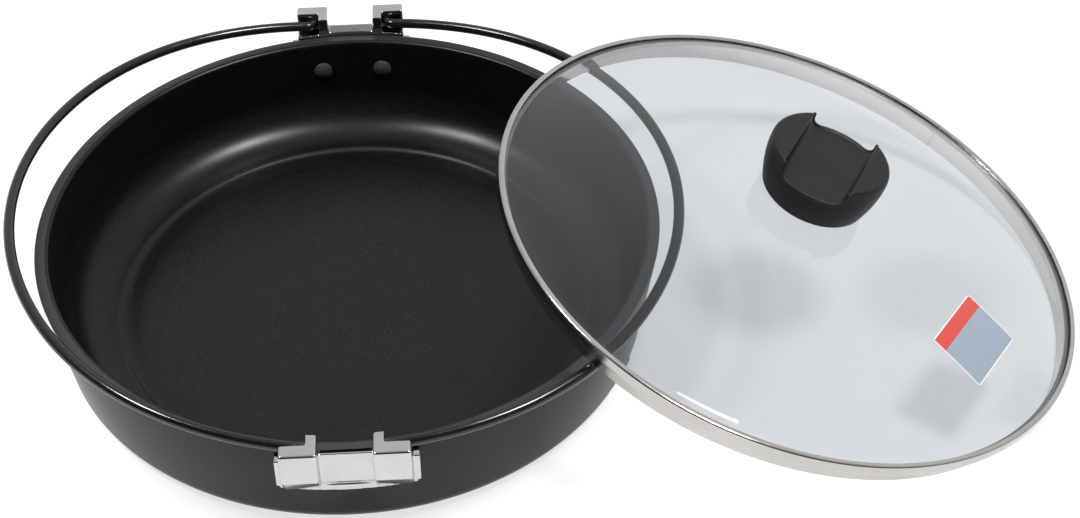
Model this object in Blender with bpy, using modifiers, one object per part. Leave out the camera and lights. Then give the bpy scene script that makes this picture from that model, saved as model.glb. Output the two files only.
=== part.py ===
"""Round grill pot of an electric griddle: pan, two wire bail handles in cast brackets, domed glass lid.

The origin is the centre of the pan's flat underside, +Z is up, and the two brackets lie on the Y axis.
The lid is off the pan: it leans on the right-hand handle, with its right edge down on the table.
"""
import math

import bmesh
import bpy
from mathutils import Matrix, Vector

MM = 0.001
GAP = 0.3 * MM                      # clearance between pieces that touch or rest on each other
MERGE = 0.00001                     # weld distance
RING_STEPS = 72                     # facets round the large turned pieces
SMALL_STEPS = 32                    # facets round the small turned pieces
KNOB_STEPS = 48
BAR_STEPS = 20                      # facets round the pins and holes
CUT_PAST = 5 * MM                   # how far a cutter runs past the face that it opens

# Pan
RIM_RADIUS = 150 * MM
PAN_HEIGHT = 56 * MM
BASE_RADIUS = 143.1 * MM            # outside of the wall, just above the bottom fillet
BASE_FILLET = 9 * MM
RIM_INNER = 143.2 * MM
RIM_ROUND = 2.3 * MM                # rounding of the rim's inner edge
RIM_EDGE = 0.9 * MM                 # rounding of the rim's outer edge
INNER_WALL_FOOT = 141.6 * MM        # inner wall where the inside fillet starts
FLOOR_BEND = 70.0 * MM              # half way out, where the floor's slope is noted
INNER_FILLET = 24 * MM
FLOOR_MIDDLE = 5.4 * MM             # the floor is a little higher in the middle
FLOOR_HALFWAY = 5.2 * MM
FLOOR_EDGE = 4.4 * MM

# Brackets, measured outwards from the pan's axis and up from the rim
BRACKET_INNER_X = 11.9 * MM         # inner side of a block
BRACKET_OUTER_X = 28.3 * MM         # outer side of a block
STOP_BAR = 4.9 * MM                 # thickness of the bar that stops the handle when it stands up
BRACKET_FACE = 162.4 * MM
BRACKET_TOP = 10.7 * MM
BRACKET_FOOT = 153.0 * MM
BRACKET_BOTTOM = -20.0 * MM
BLOCK_FACE_BOTTOM = -6.0 * MM
BLOCK_EDGE = 0.9 * MM
MIDDLE_FACE = 155.0 * MM
MIDDLE_TOP = 3.6 * MM
MIDDLE_BOTTOM = -13.7 * MM
WING_X = 31.5 * MM
WING_TOP = -3.0 * MM
WING_BOTTOM = -18.4 * MM
WING_FACE = 152.2 * MM
BAY_BACK = 155.3 * MM               # inner face of the bar that holds the pivots
BAY_FLOOR = 1.0 * MM
CAST_STEP = 0.35 * MM               # the plates stand back from the blocks' faces by this much
CAST_INSIDE = 137.2 * MM            # where the brackets' rough bodies start, before the pan's form trims them
CAST_OVERLAP = 1.5 * MM             # how far the plates run into the blocks
BAY_START = 130.0 * MM
BLOCK_BEVELS = 2

# Handles
WIRE_RADIUS = 2.6 * MM
PIVOT_X = 19.5 * MM
PIVOT_RISE = 5.2 * MM               # pivot height above the rim
PIVOT_TIP = 160.3 * MM
PIVOT_HOLE_END = 160.9 * MM
PIVOT_HOLE_RADIUS = 2.95 * MM
WIRE_BEND = 4.2 * MM
WIRE_BEND_STEPS = 4
WIRE_SIDE_STEPS = 14                # straight pieces along half of the hoop
WIRE_END_REACH = 153.3 * MM         # distance of the hoop's ends from the pan's axis
WIRE_END_RUN = 0.5 * MM             # short straight run between the bend and the hoop
WIRE_ROUND = 3                      # bevel resolution of the wire
WIRE_MEAN = 157.0 * MM              # mean distance of the wire from the pan's axis
WIRE_WAVES = ((2, 2.76 * MM), (4, -1.13 * MM), (6, 0.27 * MM))
LEFT_TILT = math.radians(6.0)       # the handles' rest angles above level
RIGHT_TILT = math.radians(1.9)

# Rivets
RIVET_ANGLE = math.radians(6.4)
RIVET_DROP = 16.8 * MM              # below the rim
RIVET_HEAD = 4.9 * MM
RIVET_HEAD_HEIGHT = 1.8 * MM
RIVET_SHANK = 2.5 * MM
RIVET_HOLE = 2.8 * MM
RIVET_SEAT = 141.4 * MM             # underside of the head, outwards from the pan's axis
RIVET_TIP = 151.2 * MM
RIVET_HOLE_END = 151.6 * MM

# Lid, in its own frame: z = 0 is the face of the band that lands on the pan's rim
LID_HEADING = math.radians(-5.4)    # direction in which the lid lies from the pan's axis
LID_DISTANCE = 212.5 * MM
LID_TILT = math.radians(16.54)
BAND_RADIUS = 146.6 * MM
BAND_TOP = 5.8 * MM
BAND_LIP = 144.0 * MM               # inner edge of the lip that folds over the glass
SHEET = 0.6 * MM
SKIRT_RADIUS = 142.0 * MM
SKIRT_BOTTOM = -8.6 * MM
GLASS_EDGE = 145.6 * MM
GLASS_FLAT = 143.0 * MM             # the glass is flat from here out to its edge
GLASS_TOP_EDGE = 4.9 * MM
GLASS_THICK = 3.8 * MM
GLASS_APEX = 32.4 * MM
GLASS_SEAT = 21.0 * MM              # flat seat for the knob
GLASS_HOLE = 4.0 * MM
GLASS_FLAT_STEP = 1.0 * MM          # the underside's dome starts this much further in
DOME_STEPS = 7
BAND_CORNER = 1.0 * MM

# Knob and its fixings
KNOB_HEIGHT = 24.3 * MM
KNOB_FOOT_RADIUS = 25.5 * MM
KNOB_TOP_RADIUS = 29.3 * MM
KNOB_EDGE = 1.6 * MM
KNOB_FLARE = 1.5                    # power of the flank's curve
FLARE_STEPS = 5
CHANNEL_HEADING = math.radians(67.2)    # direction of the finger channel, from the lid's downhill line
CHANNEL_HALF = 16.5 * MM
CHANNEL_DEPTH = 8.6 * MM
CHANNEL_ROUND = 5.5 * MM
KNOB_PINCH = 0.12                   # the top stands back by this share on the side that faces the front
KNOB_RECESS_RADIUS = 17.5 * MM
KNOB_RECESS = 1.8 * MM
KNOB_BORE = 4.8 * MM
KNOB_BORE_DEPTH = 12.5 * MM
INSERT_RADIUS = 4.5 * MM
INSERT_BORE = 2.7 * MM
SCREW_RADIUS = 2.4 * MM
SCREW_HEAD = 5.0 * MM
SCREW_HEAD_HEIGHT = 2.6 * MM
SCREW_HEAD_TAPER = 0.8              # width of the head's face as a share of its widest
SCREW_SHORT = 1.5 * MM              # the screw ends this much short of the insert's end
SEAL_RADIUS = 17.0 * MM
SEAL_BORE = 5.2 * MM
WASHER_RADIUS = 12.0 * MM
WASHER_BORE = 2.8 * MM
WASHER_THICK = 1.0 * MM
UNDER_SEAL_RADIUS = 11.0 * MM
UNDER_SEAL_THICK = 1.2 * MM
LABEL_PLACE = (80.4 * MM, -61.4 * MM)   # downhill and across, in the lid's frame
LABEL_SIZE = (41.6 * MM, 28.7 * MM)
LABEL_TURN = math.radians(59.2)
LABEL_CELLS = 4
LABEL_THICK = 0.5 * MM


def new_collection(name):
    """A fresh collection in the scene."""
    group = bpy.data.collections.new(name)
    bpy.context.scene.collection.children.link(group)
    return group


def metal(name, colour, roughness, metallic):
    """A Principled material."""
    made = bpy.data.materials.new(name)
    made.use_nodes = True
    shader = made.node_tree.nodes["Principled BSDF"]
    shader.inputs["Base Color"].default_value = (*colour, 1.0)
    shader.inputs["Roughness"].default_value = roughness
    shader.inputs["Metallic"].default_value = metallic
    return made


def pan_coating():
    return metal("pan_coating", (0.035, 0.035, 0.038), 0.45, 0.0)


def bright_chrome():
    return metal("bright_chrome", (0.80, 0.80, 0.80), 0.12, 1.0)


def wire_enamel():
    return metal("wire_enamel", (0.012, 0.012, 0.013), 0.18, 0.0)


def dark_rivet():
    return metal("dark_rivet", (0.05, 0.05, 0.055), 0.4, 0.3)


def stainless():
    return metal("stainless", (0.70, 0.68, 0.65), 0.22, 1.0)


def clear_glass():
    made = metal("clear_glass", (0.84, 0.87, 0.89), 0.03, 0.0)
    made.node_tree.nodes["Principled BSDF"].inputs["Alpha"].default_value = 0.35
    return made


def knob_plastic():
    return metal("knob_plastic", (0.03, 0.03, 0.032), 0.5, 0.0)


def brass():
    return metal("brass", (0.70, 0.52, 0.22), 0.3, 1.0)


def silicone():
    return metal("silicone", (0.55, 0.55, 0.55), 0.7, 0.0)


def label_film():
    return metal("label_film", (0.62, 0.66, 0.72), 0.4, 0.0)


def link(name, mesh, group, material=None):
    """An object for a mesh, in a collection."""
    made = bpy.data.objects.new(name, mesh)
    group.objects.link(made)
    if material:
        mesh.materials.clear()
        mesh.materials.append(material)
    return made


def finish_round(mesh, angle=35):
    """Smooth shading with sharp edges kept."""
    mesh.shade_smooth()
    mesh.set_sharp_from_angle(angle=math.radians(angle))


def applied(thing, group, material=None):
    """The evaluated mesh of an object as a plain object of the same name and place."""
    graph = bpy.context.evaluated_depsgraph_get()
    mesh = bpy.data.meshes.new_from_object(thing.evaluated_get(graph))
    place = thing.matrix_world.copy()
    name = thing.name
    data = thing.data
    bpy.data.objects.remove(thing)
    if isinstance(data, bpy.types.Curve):
        bpy.data.curves.remove(data)
    work = bmesh.new()
    work.from_mesh(mesh)
    bmesh.ops.remove_doubles(work, verts=work.verts, dist=MERGE)
    bmesh.ops.recalc_face_normals(work, faces=work.faces)
    work.to_mesh(mesh)
    work.free()
    made = link(name, mesh, group, material)
    made.matrix_world = place
    return made


def turned(name, outline, group, material=None, steps=RING_STEPS):
    """A closed ring or disc: an outline of (radius, height) turned round Z.

    The outline runs down the outside first. One that starts and ends at radius zero makes a solid disc;
    any other one is joined end to start and makes a ring.
    """
    work = bmesh.new()
    points = [work.verts.new((radius, 0.0, height)) for radius, height in outline]
    for one, two in zip(points, points[1:]):
        work.edges.new((one, two))
    if outline[0][0] > MERGE:
        work.edges.new((points[-1], points[0]))
    mesh = bpy.data.meshes.new(name)
    work.to_mesh(mesh)
    work.free()
    made = link(name, mesh, group)
    spin = made.modifiers.new("turn", "SCREW")
    spin.steps = steps
    spin.render_steps = steps
    spin.use_merge_vertices = True
    spin.merge_threshold = MERGE
    return applied(made, group, material)


def prism(name, outline, thickness, group, material=None):
    """A flat outline in XY, thickened equally to both sides of z = 0."""
    curve = bpy.data.curves.new(name, "CURVE")
    curve.dimensions = "2D"
    curve.fill_mode = "BOTH"
    curve.extrude = thickness / 2
    line = curve.splines.new("POLY")
    line.points.add(len(outline) - 1)
    for point, (x, y) in zip(line.points, outline):
        point.co = (x, y, 0.0, 1.0)
    line.use_cyclic_u = True
    made = bpy.data.objects.new(name, curve)
    group.objects.link(made)
    bpy.context.view_layer.update()
    return applied(made, group, material)


def move_mesh(thing, matrix):
    """Move an object's mesh and leave its origin."""
    thing.data.transform(matrix)
    thing.data.update()
    return thing


def cutter_look(thing):
    """Guides and cutters are shown as wire and never rendered."""
    thing.hide_render = True
    thing.display_type = "WIRE"
    return thing


def box(name, low, high, group):
    """A box between two corners."""
    mesh = bpy.data.meshes.new(name)
    work = bmesh.new()
    bmesh.ops.create_cube(work, size=1.0)
    size = [b - a for a, b in zip(low, high)]
    middle = [(a + b) / 2 for a, b in zip(low, high)]
    bmesh.ops.transform(work, verts=work.verts, matrix=Matrix.Translation(middle) @ Matrix.Diagonal((*size, 1)))
    work.to_mesh(mesh)
    work.free()
    return link(name, mesh, group)


def rod(name, start, end, radius, group):
    """A straight round bar between two points."""
    start = Vector(start)
    run = Vector(end) - start
    work = bmesh.new()
    bmesh.ops.create_cone(work, cap_ends=True, segments=BAR_STEPS, radius1=radius, radius2=radius,
                          depth=run.length)
    mesh = bpy.data.meshes.new(name)
    work.to_mesh(mesh)
    work.free()
    turn = run.to_track_quat("Z", "Y").to_matrix().to_4x4()
    mesh.transform(Matrix.Translation(start + run / 2) @ turn)
    return link(name, mesh, group)


def combine(target, tool, action):
    """Add a Boolean modifier."""
    step = target.modifiers.new(action.lower(), "BOOLEAN")
    step.operation = action
    step.solver = "EXACT"
    step.object = tool
    return step


def arc(centre, radius, start, end, count):
    """Points on an arc in degrees, both ends included."""
    points = []
    for i in range(count + 1):
        angle = math.radians(start + (end - start) * i / count)
        points.append((centre[0] + radius * math.cos(angle), centre[1] + radius * math.sin(angle)))
    return points


def pan_outline():
    """Section of the pan: floor, inside wall, rim, outside wall, underside."""
    outline = [(0.0, FLOOR_MIDDLE), (FLOOR_BEND, FLOOR_HALFWAY)]
    outline += arc((INNER_WALL_FOOT - INNER_FILLET, FLOOR_EDGE + INNER_FILLET), INNER_FILLET, -90, 0, 8)
    outline += arc((RIM_INNER + RIM_ROUND, PAN_HEIGHT - RIM_ROUND), RIM_ROUND, 180, 90, 3)
    outline += arc((RIM_RADIUS - RIM_EDGE, PAN_HEIGHT - RIM_EDGE), RIM_EDGE, 90, 0, 3)
    outline += arc((BASE_RADIUS - BASE_FILLET, BASE_FILLET), BASE_FILLET, 0, -90, 5)
    return outline + [(0.0, 0.0)]


def build_pan(group, holes):
    """The pan: one turned casting with four rivet holes."""
    pan = turned("pan_shell", pan_outline(), group, pan_coating())
    finish_round(pan.data)
    for hole in holes:
        combine(pan, hole, "DIFFERENCE")


def rivet_axis(side, hand):
    """Unit vector outwards along a rivet. side is -1 front or 1 back, hand is -1 left or 1 right."""
    return Vector((hand * math.sin(RIVET_ANGLE), side * math.cos(RIVET_ANGLE), 0.0))


def build_rivet_holes(tools):
    """Cutters for the four rivets, used on the pan and on the brackets."""
    holes = {}
    height = Vector((0.0, 0.0, PAN_HEIGHT - RIVET_DROP))
    for side in (-1, 1):
        for hand in (-1, 1):
            axis = rivet_axis(side, hand)
            start = axis * (RIM_INNER - 2 * CUT_PAST) + height
            end = axis * RIVET_HOLE_END + height
            name = f"rivet_hole_{side}_{hand}"
            holes[side, hand] = cutter_look(rod(name, start, end, RIVET_HOLE, tools))
    return holes


def build_rivets(group):
    """Four dome-headed rivets from inside the pan into the brackets."""
    finish = dark_rivet()
    sphere = (RIVET_HEAD ** 2 + RIVET_HEAD_HEIGHT ** 2) / (2 * RIVET_HEAD_HEIGHT)
    reach = math.degrees(math.asin(RIVET_HEAD / sphere))
    dome = arc((0.0, RIVET_HEAD_HEIGHT - sphere), sphere, 90, 90 - reach, 4)
    dome[0] = (0.0, RIVET_HEAD_HEIGHT)
    shank = RIVET_TIP - RIVET_SEAT
    outline = dome + [(RIVET_SHANK, 0.0), (RIVET_SHANK, -shank), (0.0, -shank)]
    for side, end_name in ((-1, "front"), (1, "back")):
        for hand, hand_name in ((-1, "left"), (1, "right")):
            rivet = turned(f"{end_name}_{hand_name}_rivet", outline, group, finish, SMALL_STEPS // 2)
            finish_round(rivet.data)
            axis = rivet_axis(side, hand)
            place = axis * RIVET_SEAT + Vector((0.0, 0.0, PAN_HEIGHT - RIVET_DROP))
            rivet.matrix_world = Matrix.Translation(place) @ (-axis).to_track_quat("Z", "Y").to_matrix().to_4x4()


def build_bracket(side, name, group, tools, pan_form, holes, finish):
    """A cast bracket: a plate on the pan's wall with two blocks that hold the handles' pivots."""
    rim = PAN_HEIGHT
    inside = CAST_INSIDE

    def side_prism(label, outline, low_x, high_x, where, material=None):
        made = prism(label, outline, high_x - low_x, where, material)
        # the outline's (x, y) become (outwards, up), and its thickness runs along X
        turn = Matrix(((0, 0, side, 0), (side, 0, 0, 0), (0, 1, 0, 0), (0, 0, 0, 1)))
        return move_mesh(made, Matrix.Translation(((low_x + high_x) / 2, 0, rim)) @ turn)

    plate_bottom = BRACKET_BOTTOM + CAST_STEP
    deeper = inside - CAST_STEP * 3
    shallower = inside + CAST_STEP * 3
    middle = [(deeper, plate_bottom), (BRACKET_FOOT - CAST_STEP, plate_bottom), (MIDDLE_FACE, MIDDLE_BOTTOM),
              (MIDDLE_FACE, MIDDLE_TOP), (deeper, MIDDLE_TOP)]
    block = [(inside, BRACKET_BOTTOM), (BRACKET_FOOT, BRACKET_BOTTOM), (BRACKET_FACE, BLOCK_FACE_BOTTOM),
             (BRACKET_FACE, BRACKET_TOP), (inside, BRACKET_TOP)]
    wing = [(shallower, WING_BOTTOM), (WING_FACE, WING_BOTTOM), (WING_FACE, WING_TOP), (shallower, WING_TOP)]
    reach = BRACKET_INNER_X + CAST_OVERLAP
    bracket = side_prism(name, middle, -reach, reach, group, finish)
    for hand in (-1, 1):
        ends = sorted((hand * BRACKET_INNER_X, hand * BRACKET_OUTER_X))
        piece = cutter_look(side_prism(f"{name}_block_{hand}", block, *ends, tools))
        soften = piece.modifiers.new("edges", "BEVEL")
        soften.width = BLOCK_EDGE
        soften.segments = BLOCK_BEVELS
        soften.limit_method = "ANGLE"
        combine(bracket, piece, "UNION")
        ends = sorted((hand * (BRACKET_OUTER_X - 2 * CAST_OVERLAP), hand * WING_X))
        combine(bracket, cutter_look(side_prism(f"{name}_wing_{hand}", wing, *ends, tools)), "UNION")
        bay_x = sorted((hand * (BRACKET_INNER_X + STOP_BAR), hand * (BRACKET_OUTER_X + CUT_PAST)))
        bay_y = sorted((side * BAY_START, side * BAY_BACK))
        low = (bay_x[0], bay_y[0], rim + BAY_FLOOR)
        high = (bay_x[1], bay_y[1], rim + BRACKET_TOP + CUT_PAST)
        combine(bracket, cutter_look(box(f"{name}_bay_{hand}", low, high, tools)), "DIFFERENCE")
        start = (hand * PIVOT_X, side * (BAY_BACK - CAST_OVERLAP), rim + PIVOT_RISE)
        end = (hand * PIVOT_X, side * PIVOT_HOLE_END, rim + PIVOT_RISE)
        pivot = cutter_look(rod(f"{name}_pivot_{hand}", start, end, PIVOT_HOLE_RADIUS, tools))
        combine(bracket, pivot, "DIFFERENCE")
        combine(bracket, holes[side, hand], "DIFFERENCE")
    combine(bracket, pan_form, "DIFFERENCE")
    return bracket


def build_pan_form(tools):
    """The pan's outside with the usual clearance, as a solid that trims the brackets."""
    top = PAN_HEIGHT + BRACKET_TOP + CUT_PAST
    bottom = BASE_FILLET - CAST_OVERLAP
    outline = [(0.0, top), (RIM_RADIUS + GAP, top), (RIM_RADIUS + GAP, PAN_HEIGHT - RIM_EDGE),
               (BASE_RADIUS + GAP, BASE_FILLET), (BASE_RADIUS + GAP, bottom), (0.0, bottom)]
    return cutter_look(turned("pan_form", outline, tools, steps=RING_STEPS * 2))


def wire_route(hand, tilt):
    """Centre line of one handle: out of the front pivot, round the pan, into the back pivot."""
    def in_plane(angle):
        radius = WIRE_MEAN + sum(size * math.cos(order * angle) for order, size in WIRE_WAVES)
        return radius * math.cos(angle), radius * math.sin(angle)

    bend_x = PIVOT_X + WIRE_BEND
    end_angle = math.acos(bend_x / WIRE_END_REACH)
    end_y = in_plane(end_angle)[1]
    half = [(PIVOT_X, PIVOT_TIP)]
    for i in range(WIRE_BEND_STEPS):
        share = i / WIRE_BEND_STEPS
        turn = math.radians(90) * share
        half.append((PIVOT_X + WIRE_BEND * (1 - math.cos(turn)),
                     end_y + WIRE_BEND * (1 - math.sin(turn)) + WIRE_END_RUN * (1 - share)))
    for i in range(WIRE_SIDE_STEPS + 1):
        half.append(in_plane(end_angle * (1 - i / WIRE_SIDE_STEPS)))
    whole = half + [(x, -y) for x, y in reversed(half[:-1])]
    route = []
    for x, y in whole:
        out = x - PIVOT_X
        route.append((hand * (PIVOT_X + out * math.cos(tilt)), y, PAN_HEIGHT + PIVOT_RISE + out * math.sin(tilt)))
    return route


def build_handle(name, hand, tilt, group, finish):
    """One wire handle on its own pivot empty."""
    pivot = bpy.data.objects.new(f"{name}_pivot", None)
    pivot.location = (hand * PIVOT_X, 0.0, PAN_HEIGHT + PIVOT_RISE)
    group.objects.link(pivot)
    curve = bpy.data.curves.new(name, "CURVE")
    curve.dimensions = "3D"
    curve.bevel_depth = WIRE_RADIUS
    curve.bevel_resolution = WIRE_ROUND
    curve.use_fill_caps = True
    route = wire_route(hand, tilt)
    line = curve.splines.new("POLY")
    line.points.add(len(route) - 1)
    for point, place in zip(line.points, route):
        point.co = (*(Vector(place) - pivot.location), 1.0)
    wire = bpy.data.objects.new(name, curve)
    group.objects.link(wire)
    bpy.context.view_layer.update()
    wire = applied(wire, group, finish)
    wire.data.shade_smooth()
    wire.parent = pivot


def lid_frame(group):
    """Empty that carries the leaning lid: the skirt's lowest edge stands just on the table."""
    frame = bpy.data.objects.new("lid_frame", None)
    group.objects.link(frame)
    drop = SKIRT_RADIUS * math.sin(LID_TILT) - SKIRT_BOTTOM * math.cos(LID_TILT)
    place = Vector((LID_DISTANCE * math.cos(LID_HEADING), LID_DISTANCE * math.sin(LID_HEADING), drop + GAP))
    turn = Matrix.Rotation(LID_HEADING, 4, "Z") @ Matrix.Rotation(LID_TILT, 4, "Y")
    frame.matrix_world = Matrix.Translation(place) @ turn
    return frame


def on_lid(thing, frame):
    """Parent a piece made in the lid's own frame."""
    thing.parent = frame
    return thing


def dome_height(radius, apex, flat_radius, flat_height):
    """Height of a spherical dome that starts at the flat edge ring."""
    rise = apex - flat_height
    sphere = (flat_radius ** 2 + rise ** 2) / (2 * rise)
    return apex - sphere + math.sqrt(sphere ** 2 - radius ** 2)


def build_glass(group, frame):
    """The domed glass with its flat edge, the flat seat for the knob and a hole for the screw."""
    inner_apex = GLASS_APEX - GLASS_THICK
    inner_edge = GLASS_TOP_EDGE - GLASS_THICK
    inner_flat = GLASS_FLAT - GLASS_FLAT_STEP
    top = []
    under = []
    for i in range(DOME_STEPS + 1):
        share = i / DOME_STEPS
        radius = GLASS_SEAT + (GLASS_FLAT - GLASS_SEAT) * share
        top.append((radius, dome_height(radius, GLASS_APEX, GLASS_FLAT, GLASS_TOP_EDGE)))
        radius = GLASS_SEAT + (inner_flat - GLASS_SEAT) * share
        under.append((radius, dome_height(radius, inner_apex, inner_flat, inner_edge)))
    seat = top[0][1]
    inner_seat = under[0][1]
    outline = [(GLASS_HOLE, seat)] + top + [(GLASS_EDGE, GLASS_TOP_EDGE), (GLASS_EDGE, inner_edge)]
    outline += list(reversed(under)) + [(GLASS_HOLE, inner_seat)]
    glass = turned("lid_glass", outline, group, clear_glass())
    finish_round(glass.data)
    on_lid(glass, frame)
    return seat, inner_seat


def build_band(group, frame):
    """Stainless band: a channel folded round the glass edge, and a skirt that drops inside the pan's rim."""
    outline = [(BAND_LIP, BAND_TOP)]
    outline += arc((BAND_RADIUS - BAND_CORNER, BAND_TOP - BAND_CORNER), BAND_CORNER, 90, 0, 3)
    outline += [(BAND_RADIUS, 0.0), (SKIRT_RADIUS, 0.0), (SKIRT_RADIUS, SKIRT_BOTTOM),
                (SKIRT_RADIUS - SHEET, SKIRT_BOTTOM), (SKIRT_RADIUS - SHEET, SHEET),
                (BAND_RADIUS - SHEET, SHEET), (BAND_RADIUS - SHEET, BAND_TOP - SHEET),
                (BAND_LIP, BAND_TOP - SHEET)]
    band = turned("lid_band", outline, group, stainless())
    finish_round(band.data)
    on_lid(band, frame)


def pinch_knob(mesh, base):
    """Draw the top's front half in along the finger channel, and leave the foot round."""
    along = Vector((math.cos(CHANNEL_HEADING), math.sin(CHANNEL_HEADING), 0.0))
    for vert in mesh.vertices:
        out = vert.co.dot(along)
        if out < 0:
            rise = max(vert.co.z - base, 0.0) / KNOB_HEIGHT
            vert.co -= along * out * KNOB_PINCH * rise


def build_knob(group, tools, frame, seat):
    """The knob: a flared round body with a wide finger channel across its top."""
    base = seat + GAP
    top = base + KNOB_HEIGHT
    flank = [(0.0, top), (KNOB_TOP_RADIUS - KNOB_EDGE, top)]
    flank += arc((KNOB_TOP_RADIUS - KNOB_EDGE, top - KNOB_EDGE), KNOB_EDGE, 60, 0, 2)
    for i in range(1, FLARE_STEPS + 1):
        share = i / FLARE_STEPS
        radius = KNOB_TOP_RADIUS + (KNOB_FOOT_RADIUS - KNOB_TOP_RADIUS) * share ** KNOB_FLARE
        flank.append((radius, top - KNOB_EDGE + (base - top + KNOB_EDGE) * share))
    flank += [(KNOB_RECESS_RADIUS, base), (KNOB_RECESS_RADIUS, base + KNOB_RECESS),
              (KNOB_BORE, base + KNOB_RECESS), (KNOB_BORE, base + KNOB_BORE_DEPTH), (0.0, base + KNOB_BORE_DEPTH)]
    knob = turned("lid_knob", flank, group, knob_plastic(), KNOB_STEPS)
    pinch_knob(knob.data, base)
    floor = top - CHANNEL_DEPTH
    above = top + CUT_PAST
    corner = CHANNEL_ROUND
    outline = [(CHANNEL_HALF, above), (-CHANNEL_HALF, above)]
    outline += arc((-CHANNEL_HALF + corner, floor + corner), corner, 180, 270, 4)
    outline += arc((CHANNEL_HALF - corner, floor + corner), corner, 270, 360, 4)
    channel = prism("knob_channel", outline, 2 * (KNOB_TOP_RADIUS + CUT_PAST), tools)
    turn = Matrix.Rotation(CHANNEL_HEADING + math.radians(90), 4, "Z") @ Matrix.Rotation(math.radians(90), 4, "X")
    move_mesh(channel, turn)
    cutter_look(channel)
    combine(knob, on_lid(channel, frame), "DIFFERENCE")
    on_lid(knob, frame)
    return base


def build_knob_fixings(group, frame, seat, inner_seat, base):
    """Seals on both sides of the glass, cup washer, screw and the brass insert that it turns into."""
    rubber = silicone()
    steel = stainless()

    def ring(name, outer, bore, low, high, finish):
        outline = [(outer, high), (outer, low), (bore, low), (bore, high)]
        made = turned(name, outline, group, finish, SMALL_STEPS)
        finish_round(made.data)
        on_lid(made, frame)

    ring("knob_seal", SEAL_RADIUS, SEAL_BORE, seat + GAP, base + KNOB_RECESS - GAP, rubber)
    under = inner_seat - GAP
    seal_low = under - UNDER_SEAL_THICK
    ring("under_seal", UNDER_SEAL_RADIUS, WASHER_BORE, seal_low, under, rubber)
    washer_top = seal_low - GAP
    washer_low = washer_top - WASHER_THICK
    ring("knob_washer", WASHER_RADIUS, WASHER_BORE, washer_low, washer_top, steel)
    insert_low = base + KNOB_RECESS + GAP
    insert_top = base + KNOB_BORE_DEPTH - GAP
    ring("knob_insert", INSERT_RADIUS, INSERT_BORE, insert_low, insert_top, brass())
    head_top = washer_low - GAP
    head_low = head_top - SCREW_HEAD_HEIGHT
    tip = insert_top - SCREW_SHORT
    outline = [(0.0, tip), (SCREW_RADIUS, tip), (SCREW_RADIUS, head_top), (SCREW_HEAD, head_top),
               (SCREW_HEAD * SCREW_HEAD_TAPER, head_low), (0.0, head_low)]
    screw = turned("knob_screw", outline, group, steel, SMALL_STEPS // 2)
    finish_round(screw.data)
    on_lid(screw, frame)


def build_label(group, frame):
    """A blank film label that lies on the dome."""
    width, height = LABEL_SIZE
    work = bmesh.new()
    bmesh.ops.create_grid(work, x_segments=LABEL_CELLS, y_segments=LABEL_CELLS, size=0.5)
    turn = Matrix.Rotation(LABEL_TURN, 4, "Z")
    shift = Matrix.Translation((*LABEL_PLACE, 0.0))
    bmesh.ops.transform(work, verts=work.verts, matrix=shift @ turn @ Matrix.Diagonal((width, height, 1, 1)))
    for vert in work.verts:
        radius = math.hypot(vert.co.x, vert.co.y)
        vert.co.z = dome_height(radius, GLASS_APEX, GLASS_FLAT, GLASS_TOP_EDGE) + GAP
    mesh = bpy.data.meshes.new("care_label")
    work.to_mesh(mesh)
    work.free()
    label = link("care_label", mesh, group, label_film())
    thick = label.modifiers.new("film", "SOLIDIFY")
    thick.thickness = LABEL_THICK
    thick.offset = 1.0
    on_lid(label, frame)


def main():
    for old in list(bpy.data.objects):
        bpy.data.objects.remove(old)
    group = new_collection("grill_pot")
    tools = new_collection("cutters")
    holes = build_rivet_holes(tools)
    build_pan(group, holes.values())
    build_rivets(group)
    pan_form = build_pan_form(tools)
    chrome = bright_chrome()
    build_bracket(-1, "front_bracket", group, tools, pan_form, holes, chrome)
    build_bracket(1, "back_bracket", group, tools, pan_form, holes, chrome)
    enamel = wire_enamel()
    build_handle("left_handle", -1, LEFT_TILT, group, enamel)
    build_handle("right_handle", 1, RIGHT_TILT, group, enamel)
    frame = lid_frame(group)
    seat, inner_seat = build_glass(group, frame)
    build_band(group, frame)
    base = build_knob(group, tools, frame, seat)
    build_knob_fixings(group, frame, seat, inner_seat, base)
    build_label(group, frame)


main()
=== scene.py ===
# %% [markdown]
# # A round grill pot with wire handles and a glass lid
# The pot is one casting with a dark coating. Two chromed brackets are riveted to its wall, and each holds
# one end of two black wire handles. The glass lid is off the pot and leans on the right-hand handle. The
# exact solids come in first as a fixed frame. Every piece made below rides on one of the frame's bodies,
# so the handles and the lid still move.

import math

import bmesh
import bpy
import numpy as np
from mathutils import Matrix, Vector


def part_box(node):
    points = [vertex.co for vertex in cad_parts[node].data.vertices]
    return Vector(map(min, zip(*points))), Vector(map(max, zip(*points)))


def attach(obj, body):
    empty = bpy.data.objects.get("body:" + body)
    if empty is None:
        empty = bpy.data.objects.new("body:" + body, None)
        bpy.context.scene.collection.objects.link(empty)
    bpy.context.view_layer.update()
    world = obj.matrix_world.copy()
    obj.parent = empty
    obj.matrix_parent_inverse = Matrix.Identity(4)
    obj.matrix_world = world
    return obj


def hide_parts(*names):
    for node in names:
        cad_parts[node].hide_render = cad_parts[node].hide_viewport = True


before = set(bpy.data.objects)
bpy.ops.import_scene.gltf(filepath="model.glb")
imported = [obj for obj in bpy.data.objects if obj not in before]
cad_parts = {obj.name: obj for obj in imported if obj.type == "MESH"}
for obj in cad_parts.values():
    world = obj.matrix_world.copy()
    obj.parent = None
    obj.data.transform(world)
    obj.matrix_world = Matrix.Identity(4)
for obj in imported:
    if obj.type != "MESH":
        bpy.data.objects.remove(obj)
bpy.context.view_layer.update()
MM = 0.001

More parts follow.
